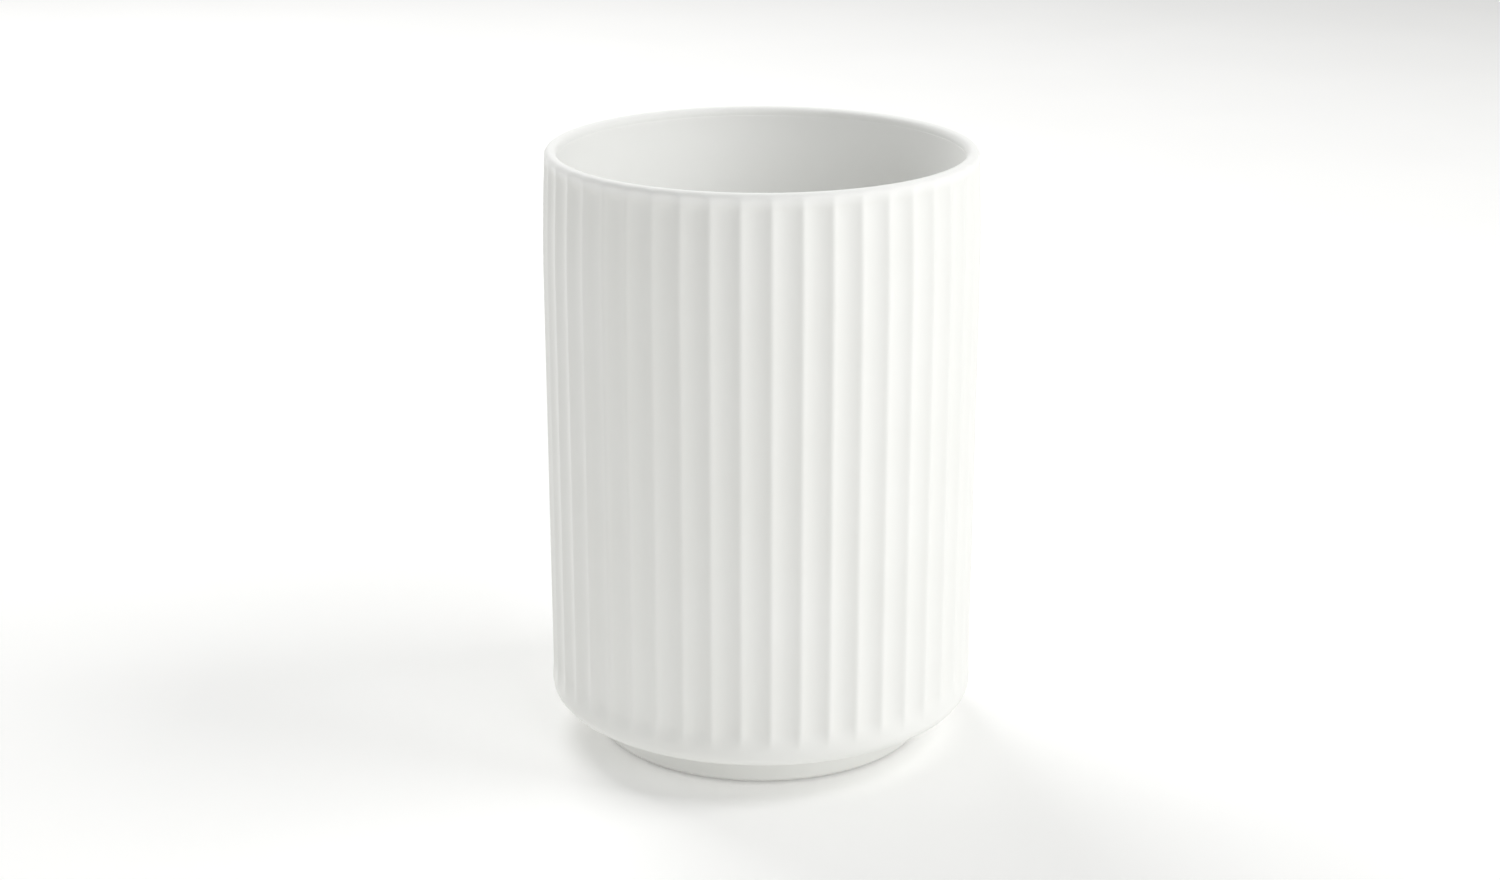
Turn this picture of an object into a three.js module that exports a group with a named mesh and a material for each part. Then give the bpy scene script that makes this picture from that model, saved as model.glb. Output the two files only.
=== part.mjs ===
// A desk pen cup: a slip-cast porcelain body with vertical flutes and an inset foot, the glaze that lines its
// inside, and an anti-slip pad bonded into the recess under the foot.
// Millimetres, +Z up. The origin is on the standing surface, on the cup's axis.

import * as THREE from "three";

// The body's outside.
const HEIGHT = 106.2; // standing surface to the top of the lip
const BODY_RADIUS = 38; // over the crests of the flutes
const RIM_DRAW = 0.7; // how far a wall curving in all the way would have drawn in at the top of the lip
const RIM_DRAW_HEIGHT = 22; // the top stretch over which the body draws in
const WALL = 2.9; // crest of a flute to the bare cavity wall
const LIP_HEIGHT = 1.2; // the rounded edge, from its two tangents to its top
const CORNER = 2.2; // radius of the rounded corner round the body's underside

// The flutes: hollows side by side round the body, each with a crest on either side.
const FLUTES = 47;
const FLUTE_DEPTH = 0.65;
const FLUTE_TURN = THREE.MathUtils.degToRad(2.55); // a crest's angle from -Y, towards +X
const FLUTE_FOOT = 9.5; // where a flute starts, above the rounded corner
const FLUTE_FOOT_FADE = 3.9; // the stretch over which it reaches its depth
const FLUTE_TOP_FADE = 3; // the stretch over which it runs out, up to the top of the lip

// The foot, and the recess inside its ring.
const FOOT_RADIUS = 29.7;
const FOOT_HEIGHT = 6.4; // the ring's flat edge up to the body's underside
const FOOT_EDGE = 0.8; // chamfer round the outside of the flat edge
const RECESS_RADIUS = 25.4;
const RECESS_DRAFT = 0.6; // how much wider the recess is at its mouth
const RECESS_DEPTH = 1.6;

// The cavity. Its floor follows the outside, as slip casting leaves it: a shelf, and a dish in the foot.
const SHELF_THICKNESS = 2.9;
const FLOOR_THICKNESS = 3.4;
const CAVITY_CORNER = 4; // fillet between wall and shelf
const DISH_RADIUS = 28.6; // where the shelf starts to dip
const DISH_BEND = 4; // radius of both bends of the dip

// The glaze lining and the pad.
const GLAZE = 0.3;
const GLAZE_LINE = 0.3; // the glaze's bare edge, below the inner tangent of the lip
const GLAZE_FEATHER = 8; // the stretch over which it thins out to that edge
const PAD_PROUD = 0.4; // the cup stands on the pad, this far below the ring
const PAD_CLEARANCE = 0.6; // pad to recess wall
const PAD_BEVEL = 0.3;

// Faceting: three columns to a flute put one on its crest and two in its hollow.
const COLUMNS_PER_FLUTE = 3;
const COLUMNS = FLUTES * COLUMNS_PER_FLUTE;
const LIP_STEPS = 6;
const CORNER_STEPS = 2;
const BEND_STEPS = 1;

// Heights and radii that follow from the sizes above.
const UNDERSIDE = PAD_PROUD + FOOT_HEIGHT;
const RECESS_TOP = PAD_PROUD + RECESS_DEPTH;
const FLOOR = RECESS_TOP + FLOOR_THICKNESS;
const SHELF = UNDERSIDE + SHELF_THICKNESS;
const CAVITY_RADIUS = BODY_RADIUS - WALL;
const LIP_TANGENT = HEIGHT - LIP_HEIGHT;
const RIM_DRAW_START = HEIGHT - RIM_DRAW_HEIGHT;

// Points of an elliptical arc, from one angle to another in degrees, 0 pointing outwards and 90 up.
function arc(centreRadius, centreHeight, reachOut, reachUp, from, to, steps) {
  const [start, end] = [from, to].map(THREE.MathUtils.degToRad);
  const curve = new THREE.EllipseCurve(
    centreRadius, centreHeight, reachOut, reachUp, start, end, to < from,
  );
  return curve.getPoints(steps);
}

// The cavity's wall and floor from the glaze line down to the axis, under a skin of the given thickness.
function cavityFace(skin, top) {
  const dip = SHELF - FLOOR;
  const bend = THREE.MathUtils.radToDeg(Math.acos(1 - dip / (2 * DISH_BEND)));
  const run = 2 * DISH_BEND * Math.sin(THREE.MathUtils.degToRad(bend));
  const upper = DISH_BEND + skin;
  const lower = DISH_BEND - skin;
  const corner = CAVITY_CORNER - skin;
  return [
    new THREE.Vector2(CAVITY_RADIUS - skin, top),
    ...arc(CAVITY_RADIUS - CAVITY_CORNER, SHELF + CAVITY_CORNER, corner, corner, 0, -90, CORNER_STEPS),
    ...arc(DISH_RADIUS, SHELF - DISH_BEND, upper, upper, 90, 90 + bend, BEND_STEPS),
    ...arc(DISH_RADIUS - run, FLOOR + DISH_BEND, lower, lower, bend - 90, -90, BEND_STEPS).slice(1),
    new THREE.Vector2(0, FLOOR + skin),
  ];
}

// The radius over the crests at a height: straight, then curving in towards the lip.
function wallRadius(height) {
  const rise = Math.max(0, height - RIM_DRAW_START) / RIM_DRAW_HEIGHT;
  return BODY_RADIUS - RIM_DRAW * rise ** 2;
}

// How much of its depth a flute has at a height: none at its two ends, all between its two fades.
function fluteShare(height) {
  const foot = THREE.MathUtils.smoothstep(height, FLUTE_FOOT, FLUTE_FOOT + FLUTE_FOOT_FADE);
  const top = (HEIGHT - height) / FLUTE_TOP_FADE;
  return Math.min(foot, top);
}

// The hollow's depth across one flute, 0 on a crest and 1 in the middle.
function hollow(across) {
  return 1 - (2 * across - 1) ** 2;
}

// The body's profile: from the axis under the foot, up the outside, over the lip and down inside to the axis.
function bodyProfile() {
  const rimRadius = wallRadius(LIP_TANGENT);
  const lipMiddle = (rimRadius + CAVITY_RADIUS) / 2;
  const lipReach = (rimRadius - CAVITY_RADIUS) / 2;
  const wallHeights = [
    FLUTE_FOOT,
    FLUTE_FOOT + FLUTE_FOOT_FADE / 2,
    FLUTE_FOOT + FLUTE_FOOT_FADE,
    RIM_DRAW_START,
    RIM_DRAW_START + RIM_DRAW_HEIGHT / 2,
    HEIGHT - FLUTE_TOP_FADE,
  ];
  return [
    new THREE.Vector2(0, RECESS_TOP),
    new THREE.Vector2(RECESS_RADIUS, RECESS_TOP),
    new THREE.Vector2(RECESS_RADIUS + RECESS_DRAFT, PAD_PROUD),
    new THREE.Vector2(FOOT_RADIUS - FOOT_EDGE, PAD_PROUD),
    new THREE.Vector2(FOOT_RADIUS, PAD_PROUD + FOOT_EDGE),
    new THREE.Vector2(FOOT_RADIUS, UNDERSIDE),
    ...arc(BODY_RADIUS - CORNER, UNDERSIDE + CORNER, CORNER, CORNER, -90, 0, CORNER_STEPS),
    ...wallHeights.map((height) => new THREE.Vector2(wallRadius(height), height)),
    ...arc(lipMiddle, LIP_TANGENT, lipReach, LIP_HEIGHT, 0, 180, LIP_STEPS),
    ...cavityFace(0, LIP_TANGENT - GLAZE_LINE),
  ];
}

// The glaze's profile: out along the porcelain to the glaze line, and back over its own bare face.
function glazeProfile() {
  const line = LIP_TANGENT - GLAZE_LINE;
  return [...cavityFace(0, line).reverse(), ...cavityFace(GLAZE, line - GLAZE_FEATHER)];
}

// The pad's profile, from the middle of its underside to the middle of its bonded face.
function padProfile() {
  const radius = RECESS_RADIUS - PAD_CLEARANCE;
  return [
    new THREE.Vector2(0, 0),
    new THREE.Vector2(radius - PAD_BEVEL, 0),
    new THREE.Vector2(radius, PAD_BEVEL),
    new THREE.Vector2(radius, RECESS_TOP),
    new THREE.Vector2(0, RECESS_TOP),
  ];
}

// A profile of radius and height turned once round +Z, with its first column on a crest.
function turned(profile) {
  const geometry = new THREE.LatheGeometry(profile, COLUMNS, FLUTE_TURN);
  return geometry.rotateX(Math.PI / 2);
}

// Presses the flutes into the outside of a turned body: each point there moves towards the axis.
function pressFlutes(geometry, profile) {
  const position = geometry.getAttribute("position");
  const outside = (BODY_RADIUS + CAVITY_RADIUS) / 2;
  for (let i = 0; i < position.count; i += 1) {
    const column = Math.floor(i / profile.length);
    const across = (column % COLUMNS_PER_FLUTE) / COLUMNS_PER_FLUTE;
    const { x: radius, y: height } = profile[i % profile.length];
    if (radius > outside) {
      const depth = FLUTE_DEPTH * fluteShare(height) * hollow(across);
      const scale = (radius - depth) / radius;
      position.setXY(i, position.getX(i) * scale, position.getY(i) * scale);
    }
  }
}

function subpart(name, geometry, color, roughness) {
  const material = new THREE.MeshStandardMaterial({ color, roughness, metalness: 0 });
  const mesh = new THREE.Mesh(geometry, material);
  mesh.name = name;
  return mesh;
}

function cupBody() {
  const profile = bodyProfile();
  const geometry = turned(profile);
  pressFlutes(geometry, profile);
  return subpart("cup_body", geometry, 0xf1f1ed, 0.7);
}

const penCup = new THREE.Group();
penCup.add(
  cupBody(),
  subpart("inner_glaze", turned(glazeProfile()), 0xf3f3f0, 0.3),
  subpart("base_pad", turned(padProfile()), 0xb9bab8, 0.8),
);

export default penCup;
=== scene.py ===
"""The looks of a fluted porcelain pen cup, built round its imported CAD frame.

Metres, +Z up. The cup stands on z = 0, and the camera looks at it from -Y.
"""

import math

import bmesh
import bpy
from mathutils import Matrix, Vector


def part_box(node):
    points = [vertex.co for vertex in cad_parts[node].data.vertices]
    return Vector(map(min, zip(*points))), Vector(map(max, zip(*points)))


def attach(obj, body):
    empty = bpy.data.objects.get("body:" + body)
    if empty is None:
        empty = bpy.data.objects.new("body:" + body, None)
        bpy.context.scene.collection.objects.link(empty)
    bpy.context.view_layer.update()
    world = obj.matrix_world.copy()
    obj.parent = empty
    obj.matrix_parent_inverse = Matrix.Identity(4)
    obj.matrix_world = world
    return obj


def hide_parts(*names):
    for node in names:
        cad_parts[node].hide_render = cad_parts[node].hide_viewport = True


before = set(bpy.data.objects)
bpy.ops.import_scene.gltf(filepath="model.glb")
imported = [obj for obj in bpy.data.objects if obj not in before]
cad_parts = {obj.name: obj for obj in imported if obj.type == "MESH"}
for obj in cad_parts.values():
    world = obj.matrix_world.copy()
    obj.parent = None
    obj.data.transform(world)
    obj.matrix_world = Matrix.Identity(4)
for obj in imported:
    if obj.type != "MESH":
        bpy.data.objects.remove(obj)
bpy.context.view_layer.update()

MM = 0.001

# What the frame gives: the body's, the glaze's and the pad's own boxes.
BODY_LOW, BODY_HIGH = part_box("cup_body")
GLAZE_LOW, GLAZE_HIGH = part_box("inner_glaze")
PAD_LOW, PAD_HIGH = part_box("base_pad")
BODY_RADIUS = (BODY_HIGH.x - BODY_LOW.x) / 2
CAVITY_RADIUS = (GLAZE_HIGH.x - GLAZE_LOW.x) / 2
PAD_RADIUS = (PAD_HIGH.x - PAD_LOW.x) / 2
TOP = BODY_HIGH.z
RING = BODY_LOW.z
RECESS_TOP = PAD_HIGH.z
GLAZE_LINE = GLAZE_HIGH.z

# The body's outside.
RIM_DRAW = 0.7 * MM
RIM_DRAW_HEIGHT = 22 * MM
LIP_HEIGHT = 1.2 * MM
LIP_TANGENT = TOP - LIP_HEIGHT
CORNER_BEND = 2.2 * MM

# The flutes. A crest is rounded off over a share of a flute's width on each side.
FLUTES = 47
FLUTE_DEPTH = 0.65 * MM
FLUTE_TURN = math.radians(2.55)
FLUTE_FOOT = 9.5 * MM
FLUTE_FOOT_FADE = 3.9 * MM
FLUTE_TOP_FADE = 3 * MM
CREST_ROUND = 0.07

# The foot, and the recess inside its ring.
FOOT_RADIUS = 29.7 * MM
UNDERSIDE = RING + 6.4 * MM
RECESS_RADIUS = 25.4 * MM
RECESS_DRAFT = 0.6 * MM
FOOT_BEND = 0.8 * MM
SMALL_BEND = 0.5 * MM

# The cavity: a shelf over the underside, a dish in the foot, and the glaze over all of it, which feathers
# out to a thin rounded lip.
SHELF = UNDERSIDE + 2.9 * MM
FLOOR = RECESS_TOP + 3.4 * MM
CAVITY_CORNER = 4 * MM
DISH_RADIUS = 28.6 * MM
DISH_BEND = 4 * MM
GLAZE = 0.3 * MM
GLAZE_FEATHER = 8 * MM
GLAZE_LIP = 0.05 * MM

# The pad's underside: ribs between a smooth middle and a smooth margin.
PAD_RIBS = 7
PAD_RIB_DEPTH = 0.25 * MM
PAD_MIDDLE = 7 * MM
PAD_MARGIN = 1.5 * MM
PAD_BEND = 0.4 * MM

# The camera, placed in body radii from the axis at the foot ring's edge, and turned in degrees. Its lens and
# sensor are in millimetres, and the nearest distance it sees is in metres.
CAMERA_DISTANCE = 11.209 * BODY_RADIUS
CAMERA_HEIGHT = RING + 5.1105 * BODY_RADIUS
CAMERA_PITCH = 18.375
CAMERA_YAW = 0.269
CAMERA_LENS = 60.5
CAMERA_SENSOR = 36
CAMERA_NEAR = 0.01

# The studio: a round sheet under the cup, an even surround, and square lamps round it.
SHEET_RADIUS = 4
SHEET_THICKNESS = 2 * MM
SHEET_GLOW = 0.12
SURROUND = 0.3
SOFTBOX_SIZE = 0.6
SOFTBOX_DISTANCE = 1.2

# Each lamp's name, azimuth and elevation in degrees, and watts. Azimuth 0 is the camera's side and 90 its
# right. A negative azimuth is on its left.
SOFTBOXES = (
    ("front", 32, 25, 3.1),
    ("low_right", 60, 10, 0.6),
    ("high_right", 85, 45, 5.6),
    ("back_left", -150, 45, 6.8),
    ("low_left", -110, 12, 2.3),
)

# How finely the pieces are cut: columns round the axis, and steps along an outline.
COLUMNS_PER_FLUTE = 16
BODY_COLUMNS = FLUTES * COLUMNS_PER_FLUTE
PAD_COLUMNS = 188
SHEET_COLUMNS = 64
BEND_STEPS = 6
CAVITY_STEPS = 8
FOOT_FADE_STEPS = 10
WALL_STEPS = 14
TOP_FADE_STEPS = 5
LIP_STEPS = 16
GLAZE_LIP_STEPS = 4
FEATHER_STEPS = 12
RIB_STEPS = 8
PAD_BEND_STEPS = 5

# The bend beyond which an edge is shaded sharp.
SHARP_BEND = math.radians(40)


def arc(centre, reach, start, end, steps):
    """Points (radius, height) on an arc from one angle to another in degrees: 0 is outwards and 90 up."""
    points = []
    for i in range(steps + 1):
        angle = math.radians(start + (end - start) * i / steps)
        points.append((centre[0] + reach[0] * math.cos(angle), centre[1] + reach[1] * math.sin(angle)))
    return points


def smooth(share):
    """A share from 0 to 1 eased in and out."""
    return share * share * (3 - 2 * share)


def rounded(corners):
    """The outline through corners (radius, height, bend), each rounded with its own bend radius."""
    outline = []
    for i, (x, y, bend) in enumerate(corners):
        here = Vector((x, y))
        if not bend:
            outline.append((x, y))
            continue
        back = (Vector(corners[i - 1][:2]) - here).normalized()
        on = (Vector(corners[i + 1][:2]) - here).normalized()
        half = back.angle(on) / 2
        centre = here + (back + on).normalized() * bend / math.sin(half)
        first = here + back * bend / math.tan(half) - centre
        turn = first.angle_signed(here + on * bend / math.tan(half) - centre)
        for k in range(BEND_STEPS + 1):
            point = centre + Matrix.Rotation(-turn * k / BEND_STEPS, 2) @ first
            outline.append((point.x, point.y))
    return outline


def stretch(low, high, steps):
    """Evenly spaced values from low to high, without the first."""
    return [low + (high - low) * i / steps for i in range(1, steps + 1)]


def wall_radius(height):
    """The radius over the crests: straight, then drawing in a little towards the lip."""
    rise = max(0, 1 - (TOP - height) / RIM_DRAW_HEIGHT)
    return BODY_RADIUS - RIM_DRAW * rise * rise


def cavity_face(skin, top):
    """The cavity's wall and floor from a height down to the axis, under a skin of a given thickness."""
    bend = math.degrees(math.acos(1 - (SHELF - FLOOR) / (2 * DISH_BEND)))
    run = 2 * DISH_BEND * math.sin(math.radians(bend))
    corner, upper, lower = CAVITY_CORNER - skin, DISH_BEND + skin, DISH_BEND - skin
    corner_centre = (CAVITY_RADIUS - CAVITY_CORNER, SHELF + CAVITY_CORNER)
    points = [(CAVITY_RADIUS - skin, z) for z in stretch(top, SHELF + CAVITY_CORNER, CAVITY_STEPS)[:-1]]
    points += arc(corner_centre, (corner, corner), 0, -90, CAVITY_STEPS)
    points += arc((DISH_RADIUS, SHELF - DISH_BEND), (upper, upper), 90, 90 + bend, BEND_STEPS)
    points += arc((DISH_RADIUS - run, FLOOR + DISH_BEND), (lower, lower), bend - 90, -90, BEND_STEPS)[1:]
    return points + [(DISH_RADIUS * share, FLOOR + skin) for share in (0.5, 0.25, 0)]


def flute_share(height):
    """How much of its depth a flute has at a height: none at its two ends, all between its two fades."""
    foot = min(1, max(0, (height - FLUTE_FOOT) / FLUTE_FOOT_FADE))
    top = (TOP - height) / FLUTE_TOP_FADE
    return min(smooth(foot), top)


def hollow(across):
    """A flute's depth across it, from crest to crest, as a share: a parabola with its crests rounded off."""
    near = min(across, 1 - across)
    if near > CREST_ROUND:
        return 4 * near * (1 - near)
    return 2 * CREST_ROUND + (2 / CREST_ROUND - 4) * near * near


def lathe(name, outline, angles, press=None):
    """A closed mesh turned round the Z axis from an outline that starts and ends on the axis.

    Where press is given, it says what radius each point gets from its radius, height and angle.
    """
    made = bmesh.new()
    rings = []
    for radius, height in outline:
        if radius == 0:
            rings.append([made.verts.new((0, 0, height))])
            continue
        ring = []
        for angle in angles:
            reach = press(radius, height, angle) if press else radius
            ring.append(made.verts.new((reach * math.sin(angle), -reach * math.cos(angle), height)))
        rings.append(ring)
    count = len(angles)
    for low, high in zip(rings, rings[1:]):
        for i in range(count):
            j = (i + 1) % count
            if len(low) == 1:
                made.faces.new((low[0], high[j], high[i]))
            elif len(high) == 1:
                made.faces.new((low[i], low[j], high[0]))
            else:
                made.faces.new((low[i], low[j], high[j], high[i]))
    for face in made.faces:
        face.smooth = True
    for edge in made.edges:
        edge.smooth = edge.calc_face_angle() < SHARP_BEND
    mesh = bpy.data.meshes.new(name)
    made.to_mesh(mesh)
    made.free()
    piece = bpy.data.objects.new(name, mesh)
    bpy.context.scene.collection.objects.link(piece)
    return piece


def even_angles(count, start=0.0):
    return [start + 2 * math.pi * i / count for i in range(count)]


def porcelain_body():
    """The slip-cast body: foot ring, fluted wall, rounded lip, and the bare cavity behind the glaze."""
    outside = rounded(
        [
            (0, RECESS_TOP, 0),
            (RECESS_RADIUS, RECESS_TOP, SMALL_BEND),
            (RECESS_RADIUS + RECESS_DRAFT, RING, SMALL_BEND),
            (FOOT_RADIUS, RING, FOOT_BEND),
            (FOOT_RADIUS, UNDERSIDE, SMALL_BEND),
            (BODY_RADIUS, UNDERSIDE, CORNER_BEND),
            (BODY_RADIUS, FLUTE_FOOT, 0),
        ]
    )
    fade_end = FLUTE_FOOT + FLUTE_FOOT_FADE
    fade_start = TOP - FLUTE_TOP_FADE
    heights = stretch(FLUTE_FOOT, fade_end, FOOT_FADE_STEPS)
    heights += stretch(fade_end, TOP - RIM_DRAW_HEIGHT, WALL_STEPS)
    heights += stretch(TOP - RIM_DRAW_HEIGHT, fade_start, WALL_STEPS)
    heights += stretch(fade_start, LIP_TANGENT, TOP_FADE_STEPS)[:-1]
    outside += [(wall_radius(z), z) for z in heights]
    tangent_radius = wall_radius(LIP_TANGENT)
    middle = (tangent_radius + CAVITY_RADIUS) / 2
    lip = arc((middle, LIP_TANGENT), (tangent_radius - middle, LIP_HEIGHT), 0, 180, LIP_STEPS)
    outline = outside + lip + cavity_face(0, LIP_TANGENT)
    fluted_beyond = (BODY_RADIUS + CAVITY_RADIUS) / 2

    def press_flutes(radius, height, angle):
        if radius < fluted_beyond or height < FLUTE_FOOT:
            return radius
        across = ((angle - FLUTE_TURN) * FLUTES / (2 * math.pi)) % 1
        return radius - FLUTE_DEPTH * flute_share(height) * hollow(across)

    return lathe("porcelain_body", outline, even_angles(BODY_COLUMNS, FLUTE_TURN), press_flutes)


def glaze_lining():
    """The glaze as its own skin over the cavity, feathering out to a line just under the lip."""
    back = cavity_face(0, GLAZE_LINE)
    front = cavity_face(GLAZE, GLAZE_LINE - GLAZE_FEATHER)
    lip_centre = (CAVITY_RADIUS, GLAZE_LINE - GLAZE_LIP)
    edge = arc(lip_centre, (-GLAZE_LIP, GLAZE_LIP), 90, 0, GLAZE_LIP_STEPS)
    for share in stretch(0, 1, FEATHER_STEPS):
        skin = GLAZE_LIP + (GLAZE - GLAZE_LIP) * smooth(share)
        edge.append((CAVITY_RADIUS - skin, GLAZE_LINE - GLAZE_FEATHER * share))
    return lathe("glaze_lining", back[::-1] + edge + front, even_angles(BODY_COLUMNS, FLUTE_TURN))


def anti_slip_pad():
    """The silicone pad, with rounded ribs moulded round its underside."""
    pitch = (PAD_RADIUS - PAD_MARGIN - PAD_MIDDLE) / PAD_RIBS
    outline = [(0, 0), (PAD_MIDDLE / 2, 0), (PAD_MIDDLE, 0)]
    for i in range(PAD_RIBS):
        start = PAD_MIDDLE + pitch * i
        for share in stretch(0, 1, RIB_STEPS):
            outline.append((start + pitch * share, PAD_RIB_DEPTH * math.sin(math.pi * share) ** 2))
    bend_centre = (PAD_RADIUS - PAD_BEND, PAD_BEND)
    outline += arc(bend_centre, (PAD_BEND, PAD_BEND), -90, 0, PAD_BEND_STEPS)
    outline += [(PAD_RADIUS, RECESS_TOP), (0, RECESS_TOP)]
    return lathe("anti_slip_pad", outline, even_angles(PAD_COLUMNS))


class Nodes:
    """A material under construction, with short calls for the nodes that the finishes share."""

    def __init__(self, name, **sockets):
        self.material = bpy.data.materials.new(name)
        self.material.use_nodes = True
        self.tree = self.material.node_tree
        self.shader = self.tree.nodes["Principled BSDF"]
        for socket, value in sockets.items():
            self.shader.inputs[socket.replace("_", " ")].default_value = value
        self.place = self.tree.nodes.new("ShaderNodeTexCoord").outputs["Object"]

    def noise(self, size, detail=2.0, roughness=0.5):
        """A noise whose blots are about size metres across."""
        node = self.tree.nodes.new("ShaderNodeTexNoise")
        node.inputs["Scale"].default_value = 1 / size
        node.inputs["Detail"].default_value = detail
        node.inputs["Roughness"].default_value = roughness
        self.tree.links.new(self.place, node.inputs["Vector"])
        return node.outputs["Fac"]

    def ramp(self, value, low, high, start=0.3, end=0.7):
        """A value mapped from start..end to low..high."""
        node = self.tree.nodes.new("ShaderNodeMapRange")
        for name, number in (("From Min", start), ("From Max", end), ("To Min", low), ("To Max", high)):
            node.inputs[name].default_value = number
        self.tree.links.new(value, node.inputs["Value"])
        return node.outputs["Result"]

    def mix(self, factor, first, second):
        """Two colours mixed by a factor. The node's colour sockets are inputs 6 and 7 and output 2."""
        node = self.tree.nodes.new("ShaderNodeMix")
        node.data_type = "RGBA"
        self.tree.links.new(factor, node.inputs["Factor"])
        for socket, colour in ((node.inputs[6], first), (node.inputs[7], second)):
            if isinstance(colour, tuple):
                socket.default_value = (*colour, 1)
            else:
                self.tree.links.new(colour, socket)
        return node.outputs[2]

    def add(self, first, second):
        """The sum of two values."""
        node = self.tree.nodes.new("ShaderNodeMath")
        self.tree.links.new(first, node.inputs[0])
        self.tree.links.new(second, node.inputs[1])
        return node.outputs["Value"]

    def height(self):
        """The height above the standing surface, in metres."""
        node = self.tree.nodes.new("ShaderNodeSeparateXYZ")
        self.tree.links.new(self.place, node.inputs["Vector"])
        return node.outputs["Z"]

    def bump(self, *layers):
        """Stacks (height value, strength, distance) layers into the shader's normal."""
        normal = None
        for value, strength, distance in layers:
            node = self.tree.nodes.new("ShaderNodeBump")
            node.inputs["Strength"].default_value = strength
            node.inputs["Distance"].default_value = distance
            self.tree.links.new(value, node.inputs["Height"])
            if normal:
                self.tree.links.new(normal, node.inputs["Normal"])
            normal = node.outputs["Normal"]
        self.tree.links.new(normal, self.shader.inputs["Normal"])

    def feed(self, socket, value):
        self.tree.links.new(value, self.shader.inputs[socket])


def bisque():
    """Unglazed porcelain: matt, fine-grained and faintly clouded, with a painted highlight paling the lip,
    and darker and mottled at the ring's bottom edge.
    """
    nodes = Nodes("porcelain_bisque", Specular_IOR_Level=0.35)
    clouds = nodes.noise(22 * MM, 3)
    grain = nodes.noise(0.35 * MM, 2)
    clouded = nodes.mix(nodes.ramp(clouds, 0, 1), (0.903, 0.906, 0.877), (0.923, 0.926, 0.902))
    # Darker and mottled over the ring's bottom bend, fading out 0.8 mm up from the ring.
    ring_edge_mottle = nodes.noise(1.5 * MM, 4)
    darker_ring_edge = nodes.mix(nodes.ramp(ring_edge_mottle, 0, 1), (0.74, 0.73, 0.70), (0.82, 0.815, 0.79))
    darker_ring_edge_share = nodes.ramp(nodes.height(), 0.7, 0, RING, RING + FOOT_BEND)
    # Painted highlight: the lip, and the wall for 1.2 mm under it, are painted paler in the glaze's tone.
    painted_lip_highlight_share = nodes.ramp(nodes.height(), 0, 1, LIP_TANGENT - LIP_HEIGHT, LIP_TANGENT)
    paler = nodes.mix(painted_lip_highlight_share, clouded, (0.950, 0.954, 0.934))
    nodes.feed("Base Color", nodes.mix(darker_ring_edge_share, paler, darker_ring_edge))
    nodes.feed("Roughness", nodes.ramp(grain, 0.62, 0.78))
    nodes.bump((grain, 0.25, 0.02 * MM), (nodes.noise(6 * MM), 0.3, 0.05 * MM))
    return nodes.material


def glaze():
    """A thin satin glaze: smoother and paler than the clay, duller towards its edge, with a slow ripple."""
    nodes = Nodes("satin_glaze", Specular_IOR_Level=0.6)
    clouds = nodes.noise(22 * MM, 3)
    clouded = nodes.mix(nodes.ramp(clouds, 0, 1), (0.952, 0.956, 0.935), (0.964, 0.967, 0.949))
    nodes.feed("Base Color", clouded)
    thin = nodes.ramp(nodes.height(), 0.42, 0.7, GLAZE_LINE - 2 * GLAZE_FEATHER, GLAZE_LINE)
    nodes.feed("Roughness", nodes.add(thin, nodes.ramp(nodes.noise(4 * MM), -0.05, 0.05)))
    nodes.bump((nodes.noise(9 * MM, 1), 0.3, 0.06 * MM))
    return nodes.material


def silicone():
    """Matt grey silicone rubber with a fine moulded grain and a little dust."""
    nodes = Nodes("silicone_rubber", Specular_IOR_Level=0.4)
    dust = nodes.noise(3 * MM, 5, 0.7)
    dusty = nodes.mix(nodes.ramp(dust, 0, 1), (0.44, 0.45, 0.44), (0.53, 0.535, 0.525))
    nodes.feed("Base Color", dusty)
    grain = nodes.noise(0.25 * MM, 2)
    nodes.feed("Roughness", nodes.ramp(grain, 0.6, 0.8))
    nodes.bump((grain, 0.35, 0.02 * MM))
    return nodes.material


def dress(piece, material, node):
    """Gives a piece its material and ties it to the frame in place of its CAD node."""
    piece.data.materials.append(material)
    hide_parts(node)
    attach(piece, "root")


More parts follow.
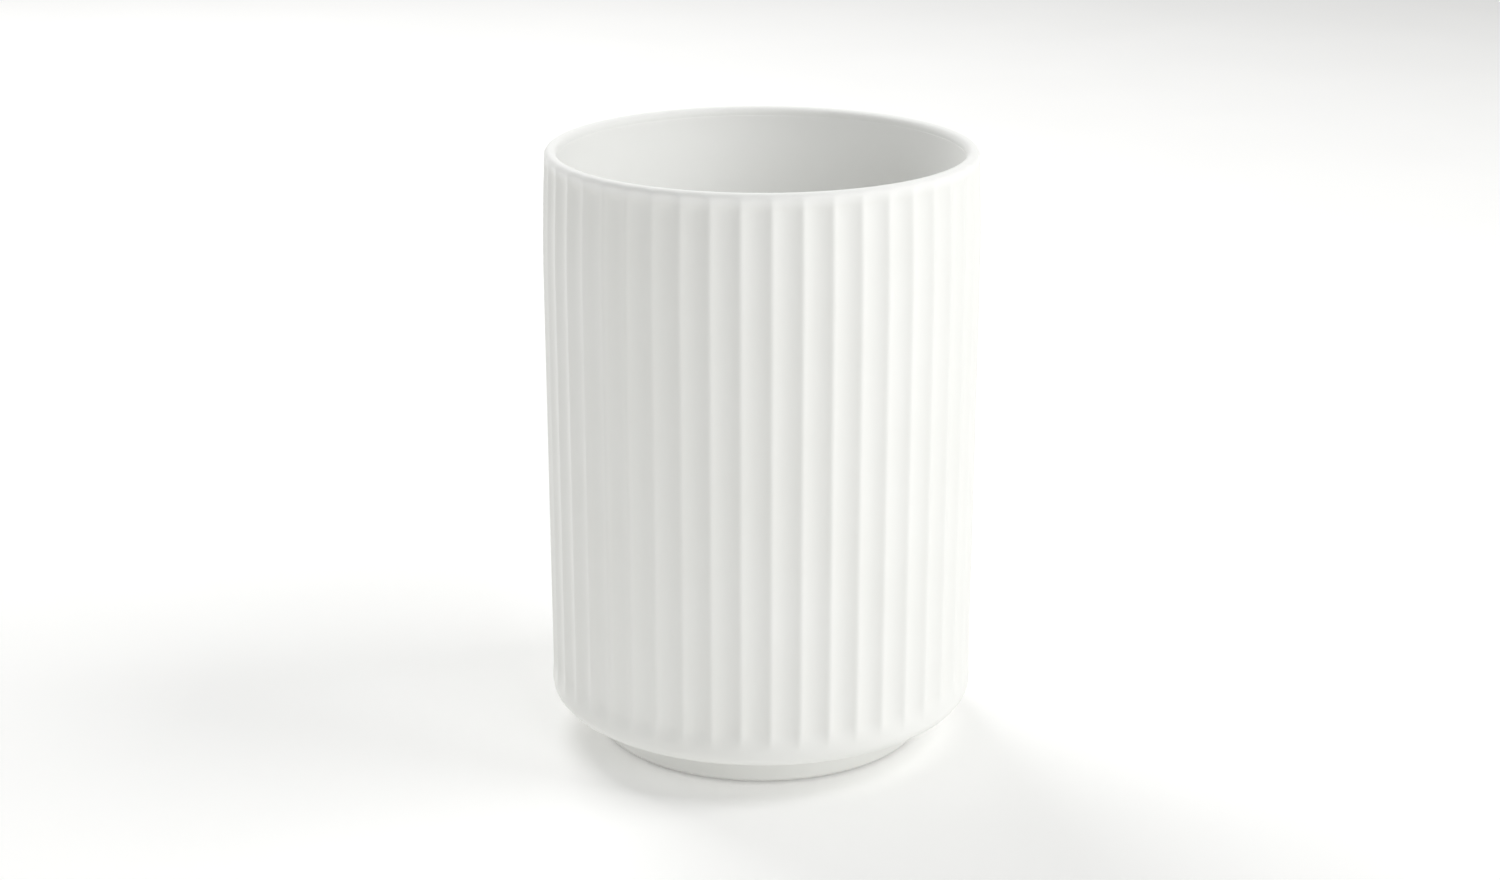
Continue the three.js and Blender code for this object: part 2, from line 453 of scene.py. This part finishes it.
def softbox(name, azimuth, elevation, power):
    """A square lamp that looks at the cup's middle."""
    data = bpy.data.lights.new(name, "AREA")
    data.size = SOFTBOX_SIZE
    data.energy = power
    lamp = bpy.data.objects.new(name, data)
    bpy.context.scene.collection.objects.link(lamp)
    around, up = math.radians(azimuth), math.radians(elevation)
    lamp.location = (
        SOFTBOX_DISTANCE * math.sin(around) * math.cos(up),
        -SOFTBOX_DISTANCE * math.cos(around) * math.cos(up),
        TOP / 2 + SOFTBOX_DISTANCE * math.sin(up),
    )
    sight = Vector((0, 0, TOP / 2)) - lamp.location
    lamp.rotation_euler = sight.to_track_quat("-Z", "Y").to_euler()


def studio():
    """A pale sheet under the cup, an even surround, and softboxes to the right and behind on the left."""
    sheet = [(0, -SHEET_THICKNESS), (SHEET_RADIUS, -SHEET_THICKNESS), (SHEET_RADIUS, 0), (0, 0)]
    floor = lathe("studio_floor", sheet, even_angles(SHEET_COLUMNS))
    nodes = Nodes("studio_paper", Roughness=0.9, Emission_Strength=SHEET_GLOW)
    nodes.shader.inputs["Emission Color"].default_value = (1, 1, 0.995, 1)
    tone = nodes.ramp(nodes.noise(60 * MM, 2), 0, 1)
    nodes.feed("Base Color", nodes.mix(tone, (0.92, 0.92, 0.91), (0.935, 0.935, 0.925)))
    floor.data.materials.append(nodes.material)
    world = bpy.data.worlds.new("studio_surround")
    world.use_nodes = True
    surround = world.node_tree.nodes["Background"]
    surround.inputs["Color"].default_value = (1, 1, 0.99, 1)
    surround.inputs["Strength"].default_value = SURROUND
    bpy.context.scene.world = world
    for name, azimuth, elevation, power in SOFTBOXES:
        softbox(name, azimuth, elevation, power)


def camera():
    data = bpy.data.cameras.new("view")
    data.lens = CAMERA_LENS
    data.sensor_width = CAMERA_SENSOR
    data.clip_start = CAMERA_NEAR
    seen = bpy.data.objects.new("view", data)
    bpy.context.scene.collection.objects.link(seen)
    seen.location = (0, -CAMERA_DISTANCE, CAMERA_HEIGHT)
    seen.rotation_euler = (math.radians(90 - CAMERA_PITCH), 0, math.radians(CAMERA_YAW))
    bpy.context.scene.camera = seen


camera()
studio()
dress(porcelain_body(), bisque(), "cup_body")
dress(glaze_lining(), glaze(), "inner_glaze")
dress(anti_slip_pad(), silicone(), "base_pad")
bpy.context.scene.view_settings.view_transform = "Standard"
